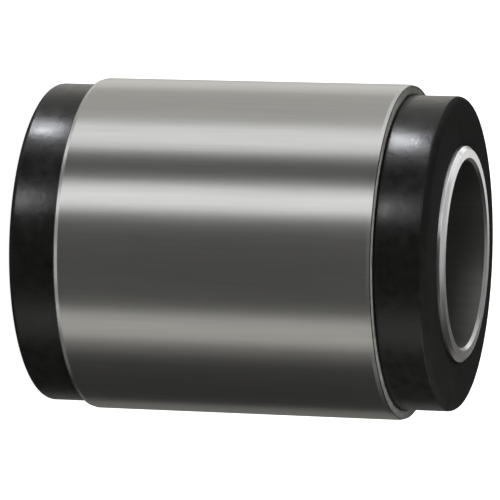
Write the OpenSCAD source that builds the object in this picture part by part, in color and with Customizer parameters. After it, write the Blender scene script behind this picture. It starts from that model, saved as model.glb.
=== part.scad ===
// Beam end bushing: a steel outer sleeve and a steel inner sleeve,
// joined by a moulded rubber bush whose collars stand out of both ends.
// The axis is +Z and the origin is the middle of the bore.

/* [Outer sleeve] */
// Outside diameter of the outer sleeve, the press fit in the beam's eye
sleeve_od = 139.7; // [125:0.1:160]
// Wall of the outer sleeve
sleeve_wall = 4.8; // [3.5:0.1:8]
// Length of the outer sleeve
sleeve_length = 133.4; // [90:0.1:180]
// Length of the lead-in taper at each end
lead_length = 1.8; // [0.8:0.1:5]
// Depth of the lead-in taper
lead_depth = 0.5; // [0.2:0.1:1.5]
// Chamfer round each mouth of the outer sleeve
mouth_chamfer = 1.1; // [0.4:0.1:1.8]

/* [Rubber bush] */
// Length of the top collar beyond the outer sleeve
top_collar_length = 21.7; // [12:0.1:30]
// Step from the sleeve's outside in to the side of the top collar
top_collar_step = 4.4; // [3:0.1:9]
// Rounding of the top collar's shoulder
top_shoulder_r = 3.2; // [1:0.1:6]
// Length of the bottom collar beyond the outer sleeve
bottom_collar_length = 20.4; // [12:0.1:30]
// Step from the sleeve's outside in to the side of the bottom collar
bottom_collar_step = 2.7; // [1.6:0.1:9]
// Rounding of the bottom collar's shoulder
bottom_shoulder_r = 2.4; // [1:0.1:6]
// Radius of the groove at the root of each collar
root_groove_r = 0.9; // [0.4:0.1:1.4]
// Radius of the relief in the rubber's end faces round the inner sleeve
relief_r = 0.6; // [0.3:0.1:1.2]

/* [Inner sleeve] */
// Diameter of the bore
bore_d = 77.8; // [60:0.1:84]
// Wall of the inner sleeve
inner_wall = 6; // [4:0.1:9]
// How far the inner sleeve stands out of the top collar
inner_stand_out = 2.6; // [1.5:0.1:10]
// Chamfer on the outside of each end
inner_chamfer = 0.9; // [0.4:0.1:1.4]
// Chamfer round each mouth of the bore
bore_chamfer = 1.1; // [0.4:0.1:1.8]

/* [Hidden] */
$fn = 128;
// The root groove's centre stands this share of its radius outside the collar
groove_offset = 0.4;

sleeve_r = sleeve_od / 2;
sleeve_bore_r = sleeve_r - sleeve_wall;
sleeve_half = sleeve_length / 2;
bore_r = bore_d / 2;
inner_r = bore_r + inner_wall;
// Both sleeves share one middle plane
inner_half = sleeve_half + top_collar_length + inner_stand_out;

// A turned tube whose ends are bevelled outside (out_x by out_z) and inside
module turned_tube(r_out, r_in, half, out_x, out_z, in_c) {
    rotate_extrude()
        polygon([
            [r_in, in_c - half],
            [r_in + in_c, -half],
            [r_out - out_x, -half],
            [r_out, out_z - half],
            [r_out, half - out_z],
            [r_out - out_x, half],
            [r_in + in_c, half],
            [r_in, half - in_c]
        ]);
}

// Half the section of the rubber, from the middle plane up to one end face
module rubber_half(step, length, shoulder_r) {
    collar_r = sleeve_r - step;
    end_z = sleeve_half + length;
    difference() {
        union() {
            // Core between the two sleeves
            translate([inner_r, 0]) square([sleeve_bore_r - inner_r, sleeve_half]);
            // Rubber in the chamfered mouth of the outer sleeve
            polygon([
                [sleeve_bore_r, sleeve_half - mouth_chamfer],
                [sleeve_bore_r + mouth_chamfer, sleeve_half],
                [sleeve_bore_r, sleeve_half]
            ]);
            // Collar, with its rounded shoulder
            translate([inner_r, sleeve_half]) square([collar_r - inner_r, length - shoulder_r]);
            translate([inner_r, end_z - shoulder_r])
                square([collar_r - shoulder_r - inner_r, shoulder_r]);
            translate([collar_r - shoulder_r, end_z - shoulder_r]) circle(shoulder_r);
        }
        // Groove where the collar leaves the sleeve
        translate([collar_r + groove_offset * root_groove_r, sleeve_half]) circle(root_groove_r);
        // Relief round the inner sleeve
        translate([inner_r, end_z]) circle(relief_r);
    }
}

// Ground steel tube that is pressed into the eye of the beam
module outer_sleeve() {
    color("#9a9993")
        turned_tube(sleeve_r, sleeve_bore_r, sleeve_half, lead_depth, lead_length, mouth_chamfer);
}

// Black rubber, bonded to both sleeves
module rubber_bush() {
    color("#232323")
        rotate_extrude() {
            rubber_half(top_collar_step, top_collar_length, top_shoulder_r);
            mirror([0, 1]) rubber_half(bottom_collar_step, bottom_collar_length, bottom_shoulder_r);
        }
}

// Steel tube that holds the pin, with bright turned ends
module inner_sleeve() {
    color("#c3c3bf")
        turned_tube(inner_r, bore_r, inner_half, inner_chamfer, inner_chamfer, bore_chamfer);
}

outer_sleeve();
rubber_bush();
inner_sleeve();
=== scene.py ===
import math

import bmesh
import bpy
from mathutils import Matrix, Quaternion, Vector


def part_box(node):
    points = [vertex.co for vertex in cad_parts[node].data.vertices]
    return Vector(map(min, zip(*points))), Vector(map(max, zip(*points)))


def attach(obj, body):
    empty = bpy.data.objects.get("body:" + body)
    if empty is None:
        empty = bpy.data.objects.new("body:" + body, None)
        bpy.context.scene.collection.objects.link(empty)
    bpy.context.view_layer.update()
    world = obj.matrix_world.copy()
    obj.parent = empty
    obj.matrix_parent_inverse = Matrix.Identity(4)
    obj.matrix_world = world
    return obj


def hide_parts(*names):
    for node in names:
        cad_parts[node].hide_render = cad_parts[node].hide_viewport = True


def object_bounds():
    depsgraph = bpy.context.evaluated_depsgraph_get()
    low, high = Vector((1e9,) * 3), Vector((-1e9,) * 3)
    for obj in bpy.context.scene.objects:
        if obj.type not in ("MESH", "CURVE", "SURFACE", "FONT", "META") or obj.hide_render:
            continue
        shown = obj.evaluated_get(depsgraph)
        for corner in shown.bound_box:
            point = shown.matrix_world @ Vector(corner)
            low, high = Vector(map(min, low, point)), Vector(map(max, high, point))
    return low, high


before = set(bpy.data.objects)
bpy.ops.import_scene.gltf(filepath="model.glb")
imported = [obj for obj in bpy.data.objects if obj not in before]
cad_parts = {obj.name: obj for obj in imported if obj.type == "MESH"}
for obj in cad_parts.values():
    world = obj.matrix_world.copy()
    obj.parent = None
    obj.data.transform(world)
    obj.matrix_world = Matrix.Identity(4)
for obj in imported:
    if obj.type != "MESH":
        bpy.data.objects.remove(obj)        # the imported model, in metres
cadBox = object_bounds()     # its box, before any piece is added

mm = 0.001
fullTurn = 2 * math.pi
noiseSpan = (0.3, 0.7)   # nearly all of a noise lies in here
print("frame loaded:", ", ".join(sorted(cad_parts)))


# Helpers

def linear(hexCode):
    # sRGB hex to the linear colour that the shaders take
    values = [int(hexCode[i:i + 2], 16) / 255 for i in (1, 3, 5)]
    return [v / 12.92 if v <= 0.04045 else ((v + 0.055) / 1.055) ** 2.4 for v in values] + [1.0]


def addNode(tree, kind, settings, inputs):
    # an input is a plain value, or else a socket or a node's first output, which is linked
    node = tree.nodes.new(kind)
    for key, value in settings.items():
        setattr(node, key, value)
    for key, value in inputs.items():
        if isinstance(value, bpy.types.Node):
            value = value.outputs[0]
        if isinstance(value, bpy.types.NodeSocket):
            tree.links.new(value, node.inputs[key])
        else:
            node.inputs[key].default_value = value
    return node


def emptyMaterial(name):
    material = bpy.data.materials.new(name)
    material.use_nodes = True
    material.node_tree.nodes.clear()
    return material, material.node_tree


def inSteps(tree, spacing):
    # the place on the part, counted in steps of spacing mm along x, y and z
    coord = addNode(tree, "ShaderNodeTexCoord", {}, {})
    steps = [1 / (mm * s) for s in spacing]
    return addNode(tree, "ShaderNodeVectorMath", {"operation": "MULTIPLY"},
                   {0: coord.outputs["Object"], 1: steps})


def shaded(tree, noise, span, dark, light):
    # a colour that goes from dark to light while the noise goes through the span. The
    # sockets 0, 6 and 7 are the share of the second colour and the two colours.
    tone = addNode(tree, "ShaderNodeMapRange", {}, {
        "Value": noise, "From Min": span[0], "From Max": span[1]})
    return addNode(tree, "ShaderNodeMix", {"data_type": "RGBA"},
                   {0: tone, 6: linear(dark), 7: linear(light)}).outputs[2]


def rounded(corners, longestRun=6.0, arcStep=12.0):
    # corners: (radius, z, edge rounding, finish) in mm, a closed outline. The finish is
    # that of the run which leaves the corner, and a rounding keeps the one before it.
    # A rounding has a point every arcStep degrees or closer, and a straight run has one
    # every longestRun mm or closer.
    straight = math.radians(179)
    points = []
    for i, (r, z, rounding, finish) in enumerate(corners):
        here = Vector((r, z))
        before = Vector(corners[i - 1][:2])
        after = Vector(corners[(i + 1) % len(corners)][:2])
        inward = (before - here).normalized()
        outward = (after - here).normalized()
        opening = inward.angle(outward)
        if rounding > 0 and opening < straight:
            setBack = rounding / math.tan(opening / 2)
            centre = here + (inward + outward).normalized() * rounding / math.sin(opening / 2)
            start = here + inward * setBack - centre
            turn = math.pi - opening
            side = 1 if start.x * (here - centre).y - start.y * (here - centre).x > 0 else -1
            steps = max(2, math.ceil(math.degrees(turn) / arcStep))
            for k in range(steps + 1):
                a = side * turn * k / steps
                spoke = Vector((start.x * math.cos(a) - start.y * math.sin(a),
                                start.x * math.sin(a) + start.y * math.cos(a)))
                points.append((centre + spoke, finish if k == steps else corners[i - 1][3]))
        else:
            points.append((here, finish))
    # Long runs are divided, so that no face is a needle
    spaced = []
    for i, (point, finish) in enumerate(points):
        following = points[(i + 1) % len(points)][0]
        count = max(1, math.ceil((following - point).length / longestRun))
        spaced += [(point.lerp(following, k / count), finish) for k in range(count)]
    return spaced


def lathe(name, outline, segments, finishes):
    # turns a closed outline round the Z axis
    mesh = bpy.data.meshes.new(name)
    bm = bmesh.new()
    rings = []
    for s in range(segments):
        a = fullTurn * s / segments
        rings.append([bm.verts.new((point.x * math.cos(a) * mm, point.x * math.sin(a) * mm, point.y * mm))
                      for point, finish in outline])
    for s in range(segments):
        here = rings[s]
        beside = rings[(s + 1) % segments]
        for i, (point, finish) in enumerate(outline):
            j = (i + 1) % len(outline)
            face = bm.faces.new((here[i], beside[i], beside[j], here[j]))
            face.material_index = finishes.index(finish)
            face.smooth = True
    bmesh.ops.recalc_face_normals(bm, faces=bm.faces)
    bm.to_mesh(mesh)
    bm.free()
    for finish in finishes:
        mesh.materials.append(finish)
    piece = bpy.data.objects.new(name, mesh)
    bpy.context.scene.collection.objects.link(piece)
    # Flat runs keep flat normals beside their rounded edges
    flat = piece.modifiers.new("flatRuns", "WEIGHTED_NORMAL")
    flat.weight = 100
    flat.keep_sharp = True
    return piece


def handOver(piece, node):
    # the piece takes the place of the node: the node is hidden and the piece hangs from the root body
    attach(piece, "root")
    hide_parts(node)
    print("piece made:", piece.name, len(piece.data.polygons), "faces")


def nodeSize(node):
    # the radius that stays inside a node's box, and its lowest and highest point, in mm
    low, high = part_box(node)
    reach = min(high.x, high.y, -low.x, -low.y)
    return reach / mm, low.z / mm, high.z / mm


# Ground steel. In every finish a spacing is in mm, one for x, y and z each or one for
# all, and a depth is in mm.

groundLook = {
    "dark": "#bababa",
    "light": "#c1c1bf",
    "smooth": 0.28,
    "rough": 0.29,
    "anisotropy": 0.55,
    "streaks": (1.4, 1.4, 45.0),     # faint stains drawn out along the tube
    "lines": (70.0, 70.0, 0.7),      # the real lines are 0.1 mm apart, drawn coarser to show
    "lineDepth": 0.0006,
    "lineStrength": 0.12,
    "waves": (26.0, 26.0, 80.0),     # the tube isn't quite true, so bands of light wander
    "waveDepth": 0.09,
}


def groundSteel(name, look):
    # Mild steel tube, centreless ground: satin, neutral grey, and its fine
    # lines run round the tube, so reflections stay crisp across and smear along it
    material, tree = emptyMaterial(name)
    tangent = addNode(tree, "ShaderNodeTangent", {"direction_type": "RADIAL", "axis": "Z"}, {})
    lines = addNode(tree, "ShaderNodeTexNoise", {}, {
        "Vector": inSteps(tree, look["lines"]), "Scale": 1.0, "Detail": 2.0})
    waves = addNode(tree, "ShaderNodeTexNoise", {}, {
        "Vector": inSteps(tree, look["waves"]), "Scale": 1.0, "Detail": 1.0})
    streaks = addNode(tree, "ShaderNodeTexNoise", {}, {
        "Vector": inSteps(tree, look["streaks"]), "Scale": 1.0, "Detail": 3.0})
    roughness = addNode(tree, "ShaderNodeMapRange", {}, {
        "Value": lines, "From Min": noiseSpan[0], "From Max": noiseSpan[1],
        "To Min": look["smooth"], "To Max": look["rough"]})
    wavy = addNode(tree, "ShaderNodeBump", {}, {
        "Height": waves, "Distance": look["waveDepth"] * mm, "Strength": 1.0})
    lined = addNode(tree, "ShaderNodeBump", {}, {
        "Height": lines, "Distance": look["lineDepth"] * mm, "Strength": look["lineStrength"],
        "Normal": wavy})
    shader = addNode(tree, "ShaderNodeBsdfPrincipled", {"distribution": "MULTI_GGX"}, {
        "Base Color": shaded(tree, streaks, noiseSpan, look["dark"], look["light"]),
        "Metallic": 1.0,
        "Roughness": roughness,
        "Anisotropic": look["anisotropy"],
        "Anisotropic Rotation": 0.25,
        "Tangent": tangent,
        "Normal": lined})
    addNode(tree, "ShaderNodeOutputMaterial", {}, {"Surface": shader})
    return material


ground = groundSteel("groundSteel", groundLook)


# Turned steel

turnedLook = {
    "colour": "#dddcdc",
    "bevelShade": "#a5a4a2",      # darker, for the bevels round the bore: painted shade that dims their reflection
    "smooth": 0.26,
    "rough": 0.34,
    "anisotropy": 0.4,
    "rings": 0.4,            # the real feed marks are 0.15 mm apart, drawn coarser to show
    "ringDepth": 0.006,
    "ringStrength": 0.5,
    "farApart": 1e6,         # a spacing so wide that the direction drops out
}


def turnedSteel(name, colour, look):
    # Steel faced on a lathe: bright, with fine rings about the axis. The noise is read by
    # the height and by the distance from the axis, so faces and bevels both get rings.
    material, tree = emptyMaterial(name)
    tangent = addNode(tree, "ShaderNodeTangent", {"direction_type": "RADIAL", "axis": "Z"}, {})
    across = inSteps(tree, (1.0, 1.0, look["farApart"]))
    radius = addNode(tree, "ShaderNodeVectorMath", {"operation": "LENGTH"}, {0: across})
    height = inSteps(tree, (look["farApart"], look["farApart"], 1.0))
    along = addNode(tree, "ShaderNodeVectorMath", {"operation": "ADD"},
                    {0: height, 1: radius.outputs["Value"]})
    rings = addNode(tree, "ShaderNodeTexNoise", {}, {
        "Vector": along, "Scale": 1 / look["rings"], "Detail": 2.0})
    roughness = addNode(tree, "ShaderNodeMapRange", {}, {
        "Value": rings, "From Min": noiseSpan[0], "From Max": noiseSpan[1],
        "To Min": look["smooth"], "To Max": look["rough"]})
    ringed = addNode(tree, "ShaderNodeBump", {}, {
        "Height": rings, "Distance": look["ringDepth"] * mm, "Strength": look["ringStrength"]})
    shader = addNode(tree, "ShaderNodeBsdfPrincipled", {"distribution": "MULTI_GGX"}, {
        "Base Color": linear(colour),
        "Metallic": 1.0,
        "Roughness": roughness,
        "Anisotropic": look["anisotropy"],
        "Anisotropic Rotation": 0.25,
        "Tangent": tangent,
        "Normal": ringed})
    addNode(tree, "ShaderNodeOutputMaterial", {}, {"Surface": shader})
    return material


turned = turnedSteel("turnedSteel", turnedLook["colour"], turnedLook)
# a darker copy of the turned finish: painted shade on the bevels round the bore
shadedBevel = turnedSteel("shadedBevelSteel", turnedLook["bevelShade"], turnedLook)


# Sawn steel

sawnLook = {
    "dark": "#82817c",
    "light": "#a9a8a2",
    "edgeShadeDark": "#161615",    # painted shade: nearly black, for the dark line in the edge
    "edgeShadeLight": "#333230",
    "smooth": 0.42,
    "rough": 0.48,
    "patches": 4.0,
    "grit": 0.8,             # real saw marks are 0.2 mm apart, drawn coarser to show
    "gritDepth": 0.06,
    "gritStrength": 0.35,
}


def sawnSteel(name, dark, light, look):
    # Steel cut off: dull, darker than the tube, with cloudy patches
    material, tree = emptyMaterial(name)
    patches = addNode(tree, "ShaderNodeTexNoise", {}, {
        "Vector": inSteps(tree, [look["patches"]] * 3), "Scale": 1.0, "Detail": 4.0, "Roughness": 0.55})
    grit = addNode(tree, "ShaderNodeTexNoise", {}, {
        "Vector": inSteps(tree, [look["grit"]] * 3), "Scale": 1.0, "Detail": 3.0})
    roughness = addNode(tree, "ShaderNodeMapRange", {}, {
        "Value": patches, "From Min": noiseSpan[0], "From Max": noiseSpan[1],
        "To Min": look["smooth"], "To Max": look["rough"]})
    gritty = addNode(tree, "ShaderNodeBump", {}, {
        "Height": grit, "Distance": look["gritDepth"] * mm, "Strength": look["gritStrength"]})
    shader = addNode(tree, "ShaderNodeBsdfPrincipled", {"distribution": "MULTI_GGX"}, {
        "Base Color": shaded(tree, patches, noiseSpan, dark, light),
        "Metallic": 0.5,         # half metallic, which dulls it
        "Roughness": roughness,
        "Normal": gritty})
    addNode(tree, "ShaderNodeOutputMaterial", {}, {"Surface": shader})
    return material


sawn = sawnSteel("sawnSteel", sawnLook["dark"], sawnLook["light"], sawnLook)
# the same finish again in near-black: painted shade for the dark line where a taper meets the end face
edgeShade = sawnSteel("edgeShadeSteel", sawnLook["edgeShadeDark"], sawnLook["edgeShadeLight"], sawnLook)


# Drawn steel

drawnLook = {
    "dark": "#5f5f5d",
    "light": "#656563",
    "toneSpan": (0.35, 0.7),
    "smooth": 0.48,
    "rough": 0.51,
    "streaks": (1.6, 1.6, 24.0),
    "streakDepth": 0.004,
    "streakStrength": 0.3,
}


def drawnSteel(name, look):
    # Cold drawn tube, dark inside: dull, with faint streaks along the bore
    material, tree = emptyMaterial(name)
    streaks = addNode(tree, "ShaderNodeTexNoise", {}, {
        "Vector": inSteps(tree, look["streaks"]), "Scale": 1.0, "Detail": 3.0})
    roughness = addNode(tree, "ShaderNodeMapRange", {}, {
        "Value": streaks, "From Min": noiseSpan[0], "From Max": noiseSpan[1],
        "To Min": look["smooth"], "To Max": look["rough"]})
    streaky = addNode(tree, "ShaderNodeBump", {}, {
        "Height": streaks, "Distance": look["streakDepth"] * mm, "Strength": look["streakStrength"]})
    shader = addNode(tree, "ShaderNodeBsdfPrincipled", {"distribution": "MULTI_GGX"}, {
        "Base Color": shaded(tree, streaks, look["toneSpan"], look["dark"], look["light"]),
        "Metallic": 0.85,        # a little less shine than bare metal
        "Roughness": roughness,
        "Normal": streaky})
    addNode(tree, "ShaderNodeOutputMaterial", {}, {"Surface": shader})
    return material


drawn = drawnSteel("drawnSteel", drawnLook)


# Moulded rubber

rubberLook = {
    "bloom": 5.0,            # size of the waxy patches
    "bloomDepth": 0.1,
    "waxSpan": (0.2, 0.8),   # shades of the bloom between which the colour changes
    "sheenSpan": (0.25, 0.75),
    "grain": 1.7,            # the real grain is 0.3 mm, drawn coarser to show
    "grainDepth": 0.05,
    "grainStrength": 0.8,
    "side": {"dark": "#0f0f0e", "waxy": "#171716", "smooth": 0.24, "rough": 0.34,
             "specular": 0.26, "lumps": 0.5},
    "face": {"dark": "#121211", "waxy": "#1b1b1a", "smooth": 0.75, "rough": 0.85,
             "specular": 0.1, "lumps": 0.4},
}


def mouldedRubber(name, look, part):
    # Black natural rubber, compression moulded: the mould's fine grain, and cloudy patches
    # where wax has come to the surface. The sides have a soft sheen, the end faces are matt.
    material, tree = emptyMaterial(name)
    bloom = addNode(tree, "ShaderNodeTexNoise", {}, {
        "Vector": inSteps(tree, [look["bloom"]] * 3), "Scale": 1.0, "Detail": 1.0})
    grain = addNode(tree, "ShaderNodeTexNoise", {}, {
        "Vector": inSteps(tree, [look["grain"]] * 3), "Scale": 1.0, "Detail": 2.0})
    roughness = addNode(tree, "ShaderNodeMapRange", {}, {
        "Value": bloom, "From Min": look["sheenSpan"][0], "From Max": look["sheenSpan"][1],
        "To Min": part["smooth"], "To Max": part["rough"]})
    lumpy = addNode(tree, "ShaderNodeBump", {}, {
        "Height": bloom, "Distance": look["bloomDepth"] * mm, "Strength": part["lumps"]})
    grainy = addNode(tree, "ShaderNodeBump", {}, {
        "Height": grain, "Distance": look["grainDepth"] * mm, "Strength": look["grainStrength"],
        "Normal": lumpy})
    shader = addNode(tree, "ShaderNodeBsdfPrincipled", {"distribution": "MULTI_GGX"}, {
        "Base Color": shaded(tree, bloom, look["waxSpan"], part["dark"], part["waxy"]),
        "Metallic": 0.0,
        "Roughness": roughness,
        "IOR": 1.52,
        "Specular IOR Level": part["specular"],
        "Normal": grainy})
    addNode(tree, "ShaderNodeOutputMaterial", {}, {"Surface": shader})
    return material


rubberSide = mouldedRubber("mouldedRubberSide", rubberLook, rubberLook["side"])
rubberFace = mouldedRubber("mouldedRubberFace", rubberLook, rubberLook["face"])
print("finishes made:", ", ".join(m.name for m in (
    ground, turned, shadedBevel, sawn, edgeShade, drawn, rubberSide, rubberFace)))


# The camera's place, from which angles round the part are counted, growing towards
# the top of the picture. The aim and the distance are in metres.

camera = {
    "aim": (0.0011, 0.0, -0.0022),
    "distance": 1.8777,
    "azimuth": 2.08,         # 0 looks along +Y
    "elevation": 15.24,
    "roll": 91.82,           # the part's axis lies across the picture
    "lens": 322.0,
    "nearest": 0.05,         # only what lies between these two distances is drawn
    "farthest": 30,
}


def around(angle, distance, z=0.0):
    a = math.radians(camera["azimuth"] - angle)
    return Vector((math.sin(a) * distance, -math.cos(a) * distance, z))


# Outer sleeve, the ground tube that is pressed into the beam's eye

outerSleeve = {
    "wall": 4.8,
    "leadLength": 1.8,       # lead-in taper at each end
    "leadDepth": 0.5,
    "mouthChamfer": 1.1,
    "scoreLine": 1.4,        # a fine groove that the tool left, this far in from the outside
    "scoreSize": 0.25,       # its width and depth
    "edgeBreak": 0.12,       # every turned edge is broken a little
    "edgeShadeWidth": 0.35,       # width of the painted shade, a dark line where a taper meets the end face
    "segments": 288,
}


def makeOuterSleeve(s):
    outside, low, high = nodeSize("outer_sleeve")
    inside = outside - s["wall"]
    faceOut = outside - s["leadDepth"]
    mouth = inside + s["mouthChamfer"]
    edge = s["edgeBreak"]
    score = outside - s["scoreLine"]
    size = s["scoreSize"]
    shadeWidth = s["edgeShadeWidth"]
    # the dark line between the end face and its taper is painted shade
    rim = faceOut + s["leadDepth"] * shadeWidth / s["leadLength"]
    outline = rounded([
        (inside, low + s["mouthChamfer"], edge, sawn),
        (mouth, low, edge, sawn),
        (score - size / 2, low, 0, sawn),
        (score, low + size, 0, sawn),
        (score + size / 2, low, 0, sawn),
        (faceOut, low, edge, edgeShade),
        (rim, low + shadeWidth, 0, ground),
        (outside, low + s["leadLength"], edge, ground),
        (outside, high - s["leadLength"], edge, ground),
        (rim, high - shadeWidth, 0, edgeShade),
        (faceOut, high, edge, sawn),
        (score + size / 2, high, 0, sawn),
        (score, high - size, 0, sawn),
        (score - size / 2, high, 0, sawn),
        (mouth, high, edge, sawn),
        (inside, high - s["mouthChamfer"], edge, sawn)])
    return lathe("outerSleeve", outline, s["segments"], [ground, sawn, edgeShade])


outerPiece = makeOuterSleeve(outerSleeve)
handOver(outerPiece, "outer_sleeve")


# Rubber bush, bonded to both sleeves, with a collar at each end

rubberBush = {
    "top": {"step": 4.4, "shoulder": 3.2},
    "bottom": {"step": 2.7, "shoulder": 2.4},
    "rootGroove": 0.9,       # radius of the groove where a collar leaves the sleeve
    "grooveOffset": 0.4,     # its centre stands this share of its radius outside the collar
    "relief": 0.6,           # radius of the relief round the inner sleeve
    "grooveSteps": 8,
    "shoulderSteps": 12,
    "shinySteps": 2,         # steps of the shoulder that keep the side's sheen
    "reliefSteps": 6,
    "segments": 288,
}


def arc(centre, radius, start, end, steps):
    # points on an arc, angles in radians
    angles = [start + (end - start) * k / steps for k in range(steps + 1)]
    return [(centre.x + radius * math.cos(a), centre.y + radius * math.sin(a)) for a in angles]


def collarOutline(s, end, bondR, outerR, sleeveHalf, endZ):
    # one end of the section, from the sleeve's bore out and over to the inner sleeve
    collarR = outerR - end["step"]
    mouthIn = outerR - outerSleeve["wall"]
    chamfer = outerSleeve["mouthChamfer"]
    groove = s["rootGroove"]
    centre = Vector((collarR + s["grooveOffset"] * groove, sleeveHalf))
    side = [(mouthIn, sleeveHalf - chamfer)]
    # The groove's arc starts on the sleeve's mouth bevel, or on its face outside the bevel
    across = centre.x - mouthIn
    half = (across + chamfer) / 2
    root = half ** 2 - (across ** 2 + chamfer ** 2 - groove ** 2) / 2
    if root > 0 and half - math.sqrt(root) < chamfer:
        t = half - math.sqrt(root)
        start = fullTurn - math.acos((mouthIn + t - centre.x) / groove)
    else:
        side.append((mouthIn + chamfer, sleeveHalf))
        start = math.pi
    side += arc(centre, groove, start, math.acos(-s["grooveOffset"]), s["grooveSteps"])
    # The matt finish of the face starts a little way round the shoulder
    shoulder = end["shoulder"]
    turn = arc(Vector((collarR - shoulder, endZ - shoulder)), shoulder, 0, math.pi / 2, s["shoulderSteps"])
    side += turn[:s["shinySteps"]]
    face = turn[s["shinySteps"]:]
    face += arc(Vector((bondR, endZ)), s["relief"], 0, -math.pi / 2, s["reliefSteps"])
    return [(r, z, 0, rubberSide) for r, z in side] + [(r, z, 0, rubberFace) for r, z in face]


def makeRubberBush(s):
    outside, sleeveLow, sleeveHigh = nodeSize("outer_sleeve")
    bond = nodeSize("inner_sleeve")[0]
    low, high = nodeSize("rubber_bush")[1:]
    top = collarOutline(s, s["top"], bond, outside, sleeveHigh, high)
    bottom = collarOutline(s, s["bottom"], bond, outside, -sleeveLow, -low)
    # Walked the other way, each run takes the finish of the corner at its far end
    mirrored = [(r, -z, rounding, bottom[i - 1][3]) for i, (r, z, rounding, finish) in enumerate(bottom)]
    return lathe("rubberBush", rounded(top + mirrored[::-1]), s["segments"], [rubberSide, rubberFace])


rubberPiece = makeRubberBush(rubberBush)
handOver(rubberPiece, "rubber_bush")


# Inner sleeve, the tube that holds the pin

innerSleeve = {
    "wall": 6.0,
    "endChamfer": 1.4,
    "boreChamfer": 1.1,
    "edgeBreak": 0.12,
    "dent": {"angle": 69.0, "radius": 44.9, "width": 2.0, "depth": 0.7},    # a knock on the outer edge
    "segments": 576,
}


def dentEdge(piece, dent, height):
    # pushes the edge in and down round one place, deepest in the middle
    direction = around(dent["angle"], 1.0)
    middle = direction * dent["radius"] * mm + Vector((0, 0, height * mm))
    for vertex in piece.data.vertices:
        away = (vertex.co - middle).length / (dent["width"] * mm)
        if away < 1:
            push = dent["depth"] * mm * (1 - away ** 2)
            vertex.co -= (direction + Vector((0, 0, 1))) * push


def makeInnerSleeve(s):
    outside, low, high = nodeSize("inner_sleeve")
    bore = outside - s["wall"]
    edge = s["edgeBreak"]
    outline = rounded([
        (bore, low + s["boreChamfer"], edge, shadedBevel),
        (bore + s["boreChamfer"], low, edge, turned),
        (outside - s["endChamfer"], low, edge, turned),
        (outside, low + s["endChamfer"], edge, turned),
        (outside, high - s["endChamfer"], edge, turned),
        (outside - s["endChamfer"], high, edge, turned),
        (bore + s["boreChamfer"], high, edge, shadedBevel),
        (bore, high - s["boreChamfer"], edge, drawn)])
    piece = lathe("innerSleeve", outline, s["segments"], [turned, drawn, shadedBevel])
    dentEdge(piece, s["dent"], high)
    return piece


innerPiece = makeInnerSleeve(innerSleeve)
handOver(innerPiece, "inner_sleeve")


# Camera

def makeCamera(s):
    azimuth = math.radians(s["azimuth"])
    elevation = math.radians(s["elevation"])
    back = Vector((math.sin(azimuth) * math.cos(elevation),
                   -math.cos(azimuth) * math.cos(elevation),
                   math.sin(elevation)))
    data = bpy.data.cameras.new("camera")
    data.lens = s["lens"]
    data.clip_start = s["nearest"]
    data.clip_end = s["farthest"]
    made = bpy.data.objects.new("camera", data)
    made.location = Vector(s["aim"]) + back * s["distance"]
    made.rotation_mode = "QUATERNION"
    level = (-back).to_track_quat("-Z", "Y")
    made.rotation_quaternion = level @ Quaternion((0, 0, 1), math.radians(s["roll"]))
    bpy.context.scene.collection.objects.link(made)
    bpy.context.scene.camera = made


makeCamera(camera)


# Studio: a white surround, two strip lamps, cards from black to pale grey that hide most
# of the surround, and smaller lamps that each light one piece. Angles are counted as
# for the camera, and lengths and heights are in metres from the part's middle. A level
# of 1 is white. A lamp points at the axis, at its own height or at the one called facing.

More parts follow.
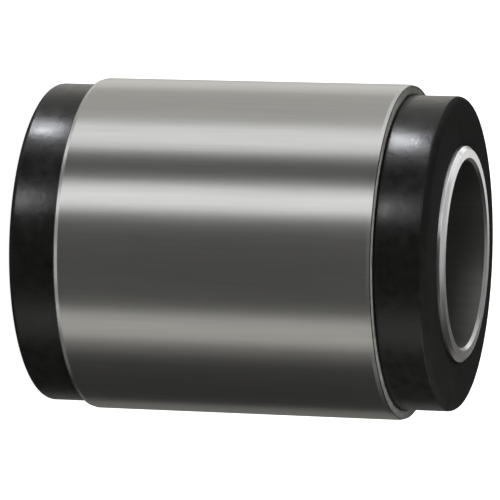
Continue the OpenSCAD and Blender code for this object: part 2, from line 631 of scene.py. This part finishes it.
studio = {
    "distance": 1.3,
    "cardDistance": 1.36,
    "cardColour": "#fffdf6",
    "cardStep": 5,           # degrees of a curved card that one flat face takes
    "reach": 1.7,            # how far a strip or a card goes up and down where it says nothing else
    "ambient": 0.7,          # what rough surfaces get from the surround
    "floorRadius": 4.0,
    "floorSegments": 96,
    "floorColour": "#e8e8e6",
    "floorLift": 0.95,       # what the floor glows where it is seen directly, so that it reads white
    "lamps": {
        "softboxTop": {"from": 66.5, "to": 90, "level": 0.3},
        "softboxFront": {"from": 22.5, "to": 41, "level": 0.5},
        "collarLampRight": {"from": 63.5, "to": 72, "low": 0.046, "high": 0.06, "level": 60.0,
                            "only": rubberPiece, "colour": "#f6f8ff", "distance": 0.13, "facing": 0.076},
        "collarLampLeft": {"from": 63.5, "to": 72, "low": -0.11, "high": -0.096, "level": 46.0,
                           "only": rubberPiece, "colour": "#f6f8ff", "distance": 0.13, "facing": -0.08},
        "collarGlowRight": {"from": 19, "to": 28, "low": 0.048, "high": 0.059, "level": 10.0,
                            "only": rubberPiece, "distance": 0.13, "facing": 0.074},
        "collarGlowLeft": {"from": 17, "to": 26, "low": -0.109, "high": -0.098, "level": 13.0,
                           "only": rubberPiece, "distance": 0.13, "facing": -0.08},
        "collarLowLamp": {"from": -80, "to": -30, "low": -0.6, "high": 0.1, "level": 0.4,
                          "only": rubberPiece},
        "faceLowLamp": {"from": -100, "to": -50, "low": 0.12, "high": 0.3, "level": 4.0,
                        "only": rubberPiece, "distance": 0.25, "facing": 0.088},
        "leadLamp": {"from": -60, "to": 25, "low": -1.9, "high": -1.25, "level": 0.6,
                     "only": outerPiece},
        "leadLowLamp": {"from": -140, "to": -60, "low": -1.5, "high": -0.9, "level": 0.2,
                        "only": outerPiece},
        "leadFrontLamp": {"from": -125, "to": -73, "low": 0.45, "high": 0.8, "level": 1.3,
                          "only": outerPiece},
        "edgeNearLamp": {"from": -30, "to": 18, "low": 0.17, "high": 0.23, "level": 11.0,
                         "only": outerPiece, "distance": 0.1, "facing": 0.067},
        "ringLamp": {"from": -22, "to": 125, "low": -0.3, "high": 0.35, "level": 4.2,
                     "only": innerPiece},
        "ringHighLamp": {"from": -45, "to": 90, "low": 0.9, "high": 2.0, "level": 0.5,
                         "only": innerPiece, "distance": 0.5, "facing": 0.09},
        "ringBackLamp": {"from": 146, "to": 181, "low": 0.16, "high": 0.6, "level": 0.95,
                         "only": innerPiece, "distance": 0.5, "facing": 0.09},
    },
    "cards": {
        "cardFront": {"from": -47, "to": 22.5, "level": 0.08},
        "cardBetween": {"from": 41, "to": 66.5, "level": 0.05},
        "cardTop": {"from": 90, "to": 135, "high": 0.05, "level": 0.55},
        "cardTopBack": {"from": 135, "to": 158, "high": 0.05, "level": 0.85},
        "cardGrey": {"from": -69, "to": -47, "level": 0.64},
        "cardEdge": {"from": -80, "to": -69, "level": 0.15},
        "cardLow": {"from": -140, "to": -80, "level": 0.04},
        "cardLowBack": {"from": -165, "to": -140, "level": 0.2},
        "cardUnderBack": {"from": -180, "to": -165, "high": 0.05, "level": 0.2},
        "cardOverBack": {"from": 158, "to": 180, "high": 0.05, "level": 0.6},
        "cardBack": {"from": 158, "to": 195, "low": 0.05, "level": 0.1},
    },
    "cardAbove": {"height": 1.6, "radius": 1.45, "segments": 48, "level": 0.1},
}


def heights(s, item):
    return item.get("low", -s["reach"]), item.get("high", s["reach"])


def addLamp(name, s, lamp):
    # a flat lamp, whose power follows from its level and area
    low, high = heights(s, lamp)
    middle = (lamp["from"] + lamp["to"]) / 2
    distance = lamp.get("distance", s["distance"])
    height = (low + high) / 2
    data = bpy.data.lights.new(name, "AREA")
    data.shape = "RECTANGLE"
    data.size = 2 * distance * math.tan(math.radians(lamp["to"] - lamp["from"]) / 2)
    data.size_y = high - low
    data.energy = lamp["level"] * math.pi * data.size * data.size_y
    data.color = linear(lamp.get("colour", "#ffffff"))[:3]
    made = bpy.data.objects.new(name, data)
    made.location = around(middle, distance, height)
    made.rotation_mode = "QUATERNION"
    facing = Vector((0, 0, lamp.get("facing", height))) - made.location
    made.rotation_quaternion = facing.to_track_quat("-Z", "Y")
    made.visible_camera = False
    bpy.context.scene.collection.objects.link(made)
    if "only" in lamp:
        # shaded off from every other piece
        lit = bpy.data.collections.new(name + "Lights")
        lit.objects.link(lamp["only"])
        made.light_linking.receiver_collection = lit


def addCard(name, s, level, bm):
    # only reflections see a card
    material, tree = emptyMaterial(name)
    glow = addNode(tree, "ShaderNodeEmission", {}, {"Color": linear(s["cardColour"]), "Strength": level})
    addNode(tree, "ShaderNodeOutputMaterial", {}, {"Surface": glow})
    mesh = bpy.data.meshes.new(name)
    bm.to_mesh(mesh)
    bm.free()
    mesh.materials.append(material)
    made = bpy.data.objects.new(name, mesh)
    made.visible_camera = False
    made.visible_diffuse = False
    made.visible_transmission = False
    made.visible_shadow = False
    bpy.context.scene.collection.objects.link(made)


def curvedCard(s, card):
    bm = bmesh.new()
    count = max(2, math.ceil((card["to"] - card["from"]) / s["cardStep"]))
    columns = []
    for k in range(count + 1):
        angle = card["from"] + (card["to"] - card["from"]) * k / count
        columns.append([bm.verts.new(around(angle, s["cardDistance"], z)) for z in heights(s, card)])
    for here, beside in zip(columns, columns[1:]):
        bm.faces.new((here[0], beside[0], beside[1], here[1]))
    return bm


def roundCard(card):
    bm = bmesh.new()
    bmesh.ops.create_circle(bm, cap_ends=True, segments=card["segments"], radius=card["radius"])
    bmesh.ops.translate(bm, verts=bm.verts, vec=(0, 0, card["height"]))
    return bm


def seenDirectly(tree):
    # 1 where the camera sees it, also in a reflection or through glass, and 0 where it
    # only lights a rough surface
    path = addNode(tree, "ShaderNodeLightPath", {}, {})
    first = addNode(tree, "ShaderNodeMath", {"operation": "MAXIMUM"},
                    {0: path.outputs["Is Camera Ray"], 1: path.outputs["Is Glossy Ray"]})
    return addNode(tree, "ShaderNodeMath", {"operation": "MAXIMUM"},
                   {0: first, 1: path.outputs["Is Transmission Ray"]})


def makeWorld(s):
    world = bpy.data.worlds.new("studio")
    world.use_nodes = True
    tree = world.node_tree
    tree.nodes.clear()
    level = addNode(tree, "ShaderNodeMapRange", {}, {
        "Value": seenDirectly(tree), "To Min": s["ambient"], "To Max": 1.0})
    sky = addNode(tree, "ShaderNodeBackground", {}, {"Color": linear("#ffffff"), "Strength": level})
    addNode(tree, "ShaderNodeOutputWorld", {}, {"Surface": sky})
    bpy.context.scene.world = world


def makeFloor(s):
    material, tree = emptyMaterial("paleFloor")
    matt = addNode(tree, "ShaderNodeBsdfDiffuse", {}, {"Color": linear(s["floorColour"])})
    lift = addNode(tree, "ShaderNodeMapRange", {}, {"Value": seenDirectly(tree), "To Max": s["floorLift"]})
    glow = addNode(tree, "ShaderNodeEmission", {}, {"Color": linear("#ffffff"), "Strength": lift})
    both = addNode(tree, "ShaderNodeAddShader", {}, {0: matt, 1: glow})
    addNode(tree, "ShaderNodeOutputMaterial", {}, {"Surface": both})
    bm = bmesh.new()
    bmesh.ops.create_circle(bm, cap_ends=True, segments=s["floorSegments"], radius=s["floorRadius"])
    mesh = bpy.data.meshes.new("floor")
    bm.to_mesh(mesh)
    bm.free()
    mesh.materials.append(material)
    floor = bpy.data.objects.new("floor", mesh)
    floor.location.z = cadBox[0].z
    floor.visible_glossy = False     # the strips run on below it in the steel, as on a part that hangs free
    floor.visible_shadow = False
    bpy.context.scene.collection.objects.link(floor)


makeWorld(studio)
makeFloor(studio)
for name, lamp in studio["lamps"].items():
    addLamp(name, studio, lamp)
for name, card in studio["cards"].items():
    addCard(name, studio, card["level"], curvedCard(studio, card))
addCard("cardAbove", studio, studio["cardAbove"]["level"], roundCard(studio["cardAbove"]))
bpy.context.scene.view_settings.view_transform = "Standard"
print("studio made:", len(studio["lamps"]), "lamps,", len(studio["cards"]) + 1, "cards")
